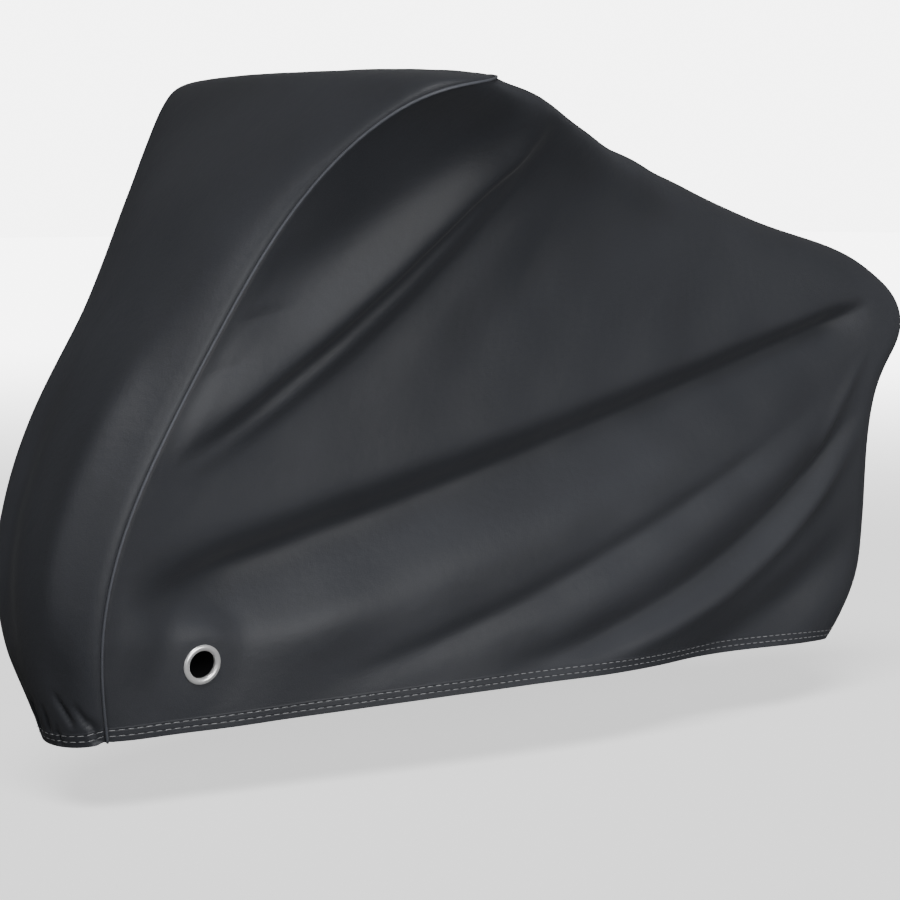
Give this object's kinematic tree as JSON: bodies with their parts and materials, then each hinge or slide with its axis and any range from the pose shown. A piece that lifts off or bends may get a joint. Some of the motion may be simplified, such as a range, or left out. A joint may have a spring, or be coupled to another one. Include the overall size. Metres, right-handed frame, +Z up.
{
  "type": "bicycle cover",
  "caption": "Fitted dark fabric cover draped over a left-out bicycle: side panels, a wide front panel, a raised arch seam, a stitched hem and steel lock eyelets low at the front.",
  "frame": {"origin": "underside of the cloth where it lies over the middle of the handlebar; the ground the bicycle stands on is 1.166 m below", "axes": "+X from the handlebar to the rear wheel, -Y the bicycle's left side, +Z up"},
  "size_m": [1.9396, 0.7952, 1.0661],
  "materials": {
    "cloth": "smooth proofed plain-weave polyester, dark grey to black",
    "welt": "piped seam in the same cloth",
    "steel": "polished"
  },
  "bodies": {
    "root": {"side_panel_left": "cloth", "side_panel_right": "cloth", "eyelet_strip_left": "cloth", "eyelet_strip_right": "cloth", "front_panel": "cloth", "arch_welt": "welt", "grommet_left": "steel", "grommet_right": "steel", "washer_left": "steel", "washer_right": "steel"}
  },
  "joints": []
}
